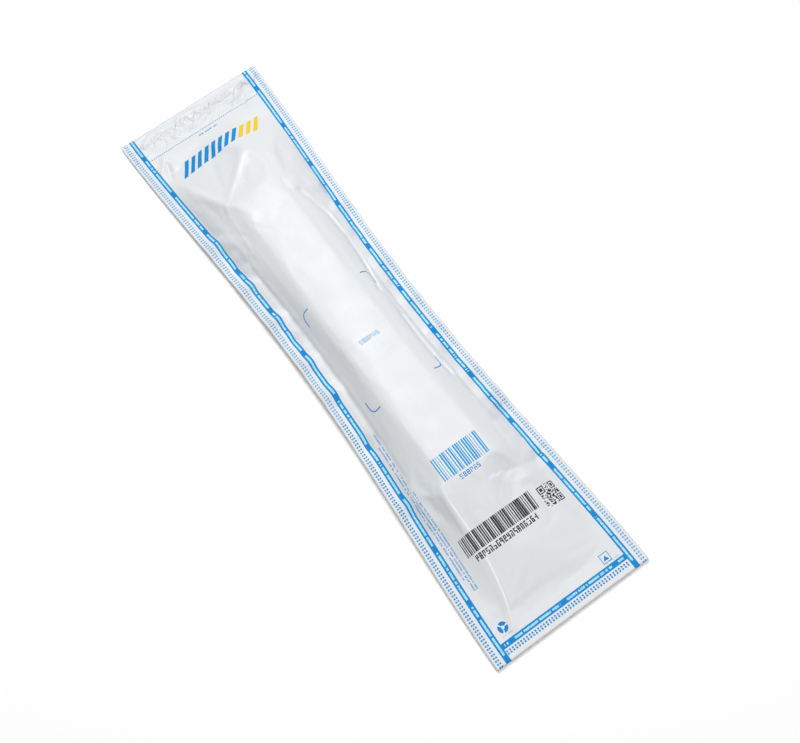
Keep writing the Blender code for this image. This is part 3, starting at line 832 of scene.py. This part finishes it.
def stripes(u, v):
    mark = printed["stripes"]
    s = u - (v - mark["low"]) * mark["lean"]
    place = (s - mark["start"]) / mark["pitch"]
    bar = (place - place.floor()) < mark["long"] / mark["pitch"]
    inside = s.within(mark["start"], mark["stop"] - mark["lean"] * (mark["high"] - mark["low"]))
    return bar * inside * v.within(mark["low"], mark["high"]), s > mark["turn"]


def printInks(u, v):
    # each ink with its mask, in the order in which they are laid on
    side = abs(u)
    dashSeed, lowDash = printed["dashSeed"], printed["bottomDash"]
    sideSeed = (u > 0.0) * dashSeed["rightMore"] + dashSeed["left"]
    tick, bottom, tear = printed["ticks"], printed["bottomTicks"], printed["tearLine"]
    bandMiddle = seamAt + film["bandWidth"] / 2
    bottomTop = film["bottomBandLow"] + film["bottomBandWidth"]
    sideBand = side.within(seamAt, seamAt + film["bandWidth"])
    bottomBand = (side < seamAt + film["bandWidth"]) * v.within(film["bottomBandLow"], bottomTop)
    bars, late = stripes(u, v)
    sideLetters = bandLetters(v, side, bandMiddle, sideSeed) * sideBand
    bottomMiddle = film["bottomBandLow"] + film["bottomBandWidth"] / 2
    bottomLetters = bandLetters(u + lowDash["shift"], v, bottomMiddle, dashSeed["bottom"])
    bottomLetters = bottomLetters * (side < seamAt - lowDash["inset"])
    outer = halfWidth - tick["inset"]
    dots = v.within(tear["along"] - tear["thick"] / 2, tear["along"] + tear["thick"] / 2)
    place = u / tear["pitch"]
    dots = dots * (side < tear["half"]) * ((place - place.floor()) < tear["long"] / tear["pitch"])
    sideTicks = tickRow(v, side, outer - tick["width"], outer)
    bottomTicks = tickRow(u, v, bottom["low"], bottom["high"]) * (side < bottom["half"])
    pale = sideTicks.atLeast(figures(u, v, printed["labelWord"]))
    blue = (sideBand.atLeast(bottomBand)).atLeast(labelCorners(u, v))
    blue = blue.atLeast(bars * (1 - late))
    blue = blue.atLeast(letters(u, v, printed["tearNote"])).atLeast(ringMark(u, v))
    blue = blue.atLeast(figures(u, v, printed["blueWord"])).atLeast(boxMark(u, v))
    small = printed["smallRow"]
    for n, (across, low, high) in enumerate(printed["smallPrint"]):
        row = {**small, "start": low, "stop": high, "low": across, "seed": small["seed"] + n}
        blue = blue.atLeast(letters(v, u, row))
    for name in ("ringNote", "boxNote"):
        pale = pale.atLeast(letters(u, v, printed[name]))
    black = barCode(u, v, printed["blackCode"]).atLeast(squareCode(u, v))
    black = black.atLeast(figures(u, v, printed["blackWord"]))
    low = bottomTicks.atLeast(dots).atLeast(sideTicks * (v < tick["deepTo"]) * (u < 0.0))
    return (("paleBlue", pale), ("deepBlue", low), ("blue", blue),
            ("codeBlue", barCode(u, v, printed["blueCode"])),
            ("bandText", sideLetters.atLeast(bottomLetters)), ("yellow", bars * late), ("black", black))


longCrease = {
    "low": 0.0285,
    "bend": 14.6,
    "power": 3.2,
    "from": 0.140,
    "start": (0.018, 0.040),
    "end": (0.118, 0.150),
    "soft": 0.0085,
    "steep": 0.0022,
    "height": 0.50,
    # line and lineCore set the width of the painted highlight along the crease
    "line": 0.0011,
    "lineCore": 0.4,
}


def longCreaseParts(u, v):
    # the fold that runs from the goods to the bottom left corner: its height, steep on the right,
    # and a painted highlight, a whiter line along its top where the fold catches the light
    c = longCrease
    past = (c["from"] - v).atLeast(0.0)
    off = u + c["low"] + past.maths("POWER", past, c["power"]) * c["bend"]
    onLine = v.eased(*c["start"]) * (1.0 - v.eased(*c["end"]))
    rise = off.eased(-c["soft"], 0.0) * (1.0 - off.eased(0.0, c["steep"]))
    paintedHighlight = 1.0 - abs(off).eased(c["line"] * c["lineCore"], c["line"])
    return rise * onLine * c["height"], paintedHighlight * onLine


# noise in the film and where it is let in: each pair is the start and the stop of a soft step
wrinkle = {
    "streaks": {"across": 90.0, "along": 9.0, "detail": 2.0},
    "label": {"across": 16.0, "along": 150.0, "detail": 3.0, "twist": 0.8, "sharp": 6.0,
              "middle": 0.288, "endFade": (0.035, 0.075), "sideFade": (0.020, 0.034)},
    "crumple": {"scale": 48.0, "detail": 3.0, "twist": 1.4, "sharp": 9.0,
                "start": (0.570, 0.576), "end": (0.583, 0.590), "loss": 0.75},
    "closureFold": {"along": 0.5875, "scale": 34.0, "shift": 3.0, "detail": 1.0, "sway": 0.009,
                    "rise": 0.0040, "drop": 0.0016},
    "gather": {"across": 26.0, "along": 62.0, "seed": 7.0, "detail": 1.5, "twist": 0.5,
               "inset": 0.008, "reach": (0.003, 0.011), "start": (0.10, 0.16), "end": (0.50, 0.56)},
    "dents": {"scale": 55.0, "detail": 2.0, "twist": 0.6},
    "grain": {"scale": 420.0, "detail": 2.0},
    "topEdge": {"across": (0.0205, 0.0270), "start": (0.16, 0.24), "end": (0.43, 0.49)},
    "haze": {"scale": 38.0, "detail": 3.0, "range": (0.35, 0.65), "spread": 0.05},
}


def noise(wire, place, kind):
    return wire.node("TexNoise", sockets={"Vector": place, "Scale": kind.get("scale", 1.0),
                                          "Detail": kind["detail"], "Distortion": kind.get("twist", 0.0)})


def stretchedNoise(wire, u, v, kind):
    # noise with a scale of its own across and along the film
    sockets = {0: u * kind["across"], 1: v * kind["along"], 2: kind.get("seed", 0.0)}
    return noise(wire, wire.node("CombineXYZ", sockets=sockets), kind)


def crests(value, kind):
    # sharp lines where the noise passes its middle value
    return (1.0 - abs(value - 0.5) * kind["sharp"]).atLeast(0.0)


def closureFold(wire, u, v):
    # a fold across the closure end, high on one side of a line that sways
    fold = wrinkle["closureFold"]
    wave = wire.node("TexNoise", {"noise_dimensions": "1D"},
                     {"W": u * fold["scale"] + fold["shift"], "Detail": fold["detail"]})
    off = v - fold["along"] - (wave - 0.5) * fold["sway"]
    return off.eased(-fold["rise"], 0.0) * (1.0 - off.eased(0.0, fold["drop"]))


def wrinkles(wire, u, v, place):
    # long soft streaks, creases across the label, and a crumpled strip at the closure
    look = filmLook
    label, crumple, gather, top = (wrinkle[name] for name in ("label", "crumple", "gather", "topEdge"))
    onLabel = 1.0 - abs(v - label["middle"]).eased(*label["endFade"])
    onLabel = onLabel * (1.0 - abs(u).eased(*label["sideFade"]))
    byWeld = abs(abs(u) - (seamAt - gather["inset"]))
    gathered = stretchedNoise(wire, u, v, gather) * (1.0 - byWeld.eased(*gather["reach"]))
    rolled = crests(noise(wire, place, crumple), crumple) * v.eased(*crumple["start"])
    parts = {
        "streaks": stretchedNoise(wire, u, v, wrinkle["streaks"]),
        "folds": crests(stretchedNoise(wire, u, v, label), label) * onLabel,
        "rolls": rolled * (1.0 - v.eased(*crumple["end"]) * crumple["loss"]),
        "edge": (1.0 - u.eased(*top["across"])) * v.eased(*top["start"]) * (1.0 - v.eased(*top["end"])),
        "fold": closureFold(wire, u, v),
        "pleats": gathered * (1.0 - v.eased(*gather["end"])) * v.eased(*gather["start"]),
        "soft": noise(wire, place, wrinkle["dents"]),
        "fine": noise(wire, place, wrinkle["grain"]),
    }
    height = 0.0
    for name, part in parts.items():
        height = height + part * look[name]
    return height


def filmMaterial(name, withPrint):
    made, shader, wire = newMaterial(name)
    look = filmLook
    shader.inputs["Specular IOR Level"].default_value = look["specular"]
    u = wire.node("SeparateXYZ", sockets={"Vector": wire.node("UVMap", {"uv_map": "film"})})
    v = Wire(wire.tree, u.socket.node.outputs["Y"])
    place = Wire(wire.tree, wire.node("TexCoord").socket.node.outputs["Object"])
    haze = wrinkle["haze"]
    low, high = haze["range"]
    rough = wire.node("MapRange", sockets={"Value": noise(wire, place, haze), 1: low, 2: high,
                                           3: look["roughness"] - haze["spread"],
                                           4: look["roughness"] + haze["spread"]})
    height = wrinkles(wire, u, v, place)
    if withPrint:
        creaseHeight, paintedHighlight = longCreaseParts(u, v)
        height = height + creaseHeight
        # the whiter line along the long crease is a painted highlight, not a colour of the film
        colour = mixedColour(wire, paintedHighlight, look["white"], look["creaseHighlight"])
        for ink, mask in printInks(u, v):
            colour = mixedColour(wire, mask, colour, look[ink])
            rough = mixedValue(wire, mask, rough, look["inkRoughness"])
        wire.tree.links.new(colour.socket, shader.inputs["Base Color"])
    else:
        shader.inputs["Base Color"].default_value = look["white"]
    wire.tree.links.new(rough.socket, shader.inputs["Roughness"])
    bump = wire.node("Bump", sockets={"Height": height, "Strength": 1.0, "Distance": look["relief"]})
    wire.tree.links.new(bump.socket, shader.inputs["Normal"])
    return made


bag = makeBag()
bag.data.materials.append(filmMaterial("printedFilm", True))
bag.data.materials.append(filmMaterial("plainFilm", False))
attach(bag, "root")
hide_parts("mailer_bag")
print("bag made", len(bag.data.polygons))

floor = {
    "size": 6.0,
    "drop": 0.0002,
    "colour": (1.0, 1.0, 1.0, 1.0),
    "glow": (0.11, 0.10, 0.095, 1.0),
    "noGlow": (0.0, 0.0, 0.0, 1.0),
    "roughness": 0.9,
    "specular": 0.1,
}


def backdropRays(wire):
    # the rays that show the background: from the camera, off gloss and through glass
    rays = wire.node("LightPath")
    outputs = rays.socket.node.outputs
    glossy = Wire(wire.tree, outputs["Is Glossy Ray"])
    return rays.atLeast(glossy).atLeast(Wire(wire.tree, outputs["Is Transmission Ray"]))


def makeFloor():
    bpy.ops.object.select_all(action="DESELECT")
    bpy.ops.mesh.primitive_plane_add(size=floor["size"], location=(0, 0, -floor["drop"]))
    plane = bpy.context.object
    plane.name = "floor"
    plane.data.transform(plane.matrix_world)
    plane.matrix_world = Matrix.Identity(4)
    made, shader, wire = newMaterial("paleFloor")
    shader.inputs["Base Color"].default_value = floor["colour"]
    shader.inputs["Roughness"].default_value = floor["roughness"]
    shader.inputs["Specular IOR Level"].default_value = floor["specular"]
    shader.inputs["Emission Strength"].default_value = 1.0
    glow = mixedColour(wire, backdropRays(wire), floor["noGlow"], floor["glow"])
    wire.tree.links.new(glow.socket, shader.inputs["Emission Color"])
    plane.data.materials.append(made)


makeFloor()

camera = {
    "place": (-0.1406, -0.3895, 0.9619),
    "view": (0.1438, 0.3327, -0.9320),
    "up": (0.5602, 0.7490, 0.3538),
    "lens": 53.28,
    "sensor": 36.0,
    "clipStart": 0.01,
}


def makeCamera():
    lens = bpy.data.cameras.new("camera")
    lens.lens = camera["lens"]
    lens.sensor_width = camera["sensor"]
    lens.sensor_fit = "HORIZONTAL"
    lens.clip_start = camera["clipStart"]
    made = bpy.data.objects.new("camera", lens)
    back = -Vector(camera["view"]).normalized()
    up = Vector(camera["up"])
    right = up.cross(back).normalized()
    up = back.cross(right)
    turn = Matrix((right, up, back)).transposed().to_4x4()
    made.matrix_world = Matrix.Translation(camera["place"]) @ turn
    bpy.context.scene.collection.objects.link(made)
    bpy.context.scene.camera = made


makeCamera()

light = {
    "key": {"toward": (0.16, -0.08, 0.98), "distance": 3.5, "size": 2.2, "power": 52.0},
    "sheen": {"toward": (0.13, 0.42, 0.90), "distance": 3.0, "size": 1.15, "power": 47.0},
    "backdrop": 1.0,
    "sky": 0.14,
    "skyColour": (0.88, 0.95, 1.0, 1.0),
}


def makeLight():
    for name in ("key", "sheen"):
        one = light[name]
        lamp = bpy.data.lights.new(name, "AREA")
        lamp.shape = "SQUARE"
        lamp.size = one["size"]
        lamp.energy = one["power"]
        made = bpy.data.objects.new(name, lamp)
        direction = Vector(one["toward"]).normalized()
        made.location = direction * one["distance"]
        made.rotation_euler = direction.to_track_quat("Z", "Y").to_euler()
        bpy.context.scene.collection.objects.link(made)
    world = bpy.data.worlds.new("world")
    bpy.context.scene.world = world
    world.use_nodes = True
    tree = world.node_tree
    tree.nodes.clear()
    wire = Wire(tree)
    strength = mixedValue(wire, backdropRays(wire), light["sky"], light["backdrop"])
    background = wire.node("Background", sockets={"Color": light["skyColour"], "Strength": strength})
    wire.node("OutputWorld", sockets={"Surface": background})


makeLight()
bpy.context.scene.view_settings.view_transform = "Standard"
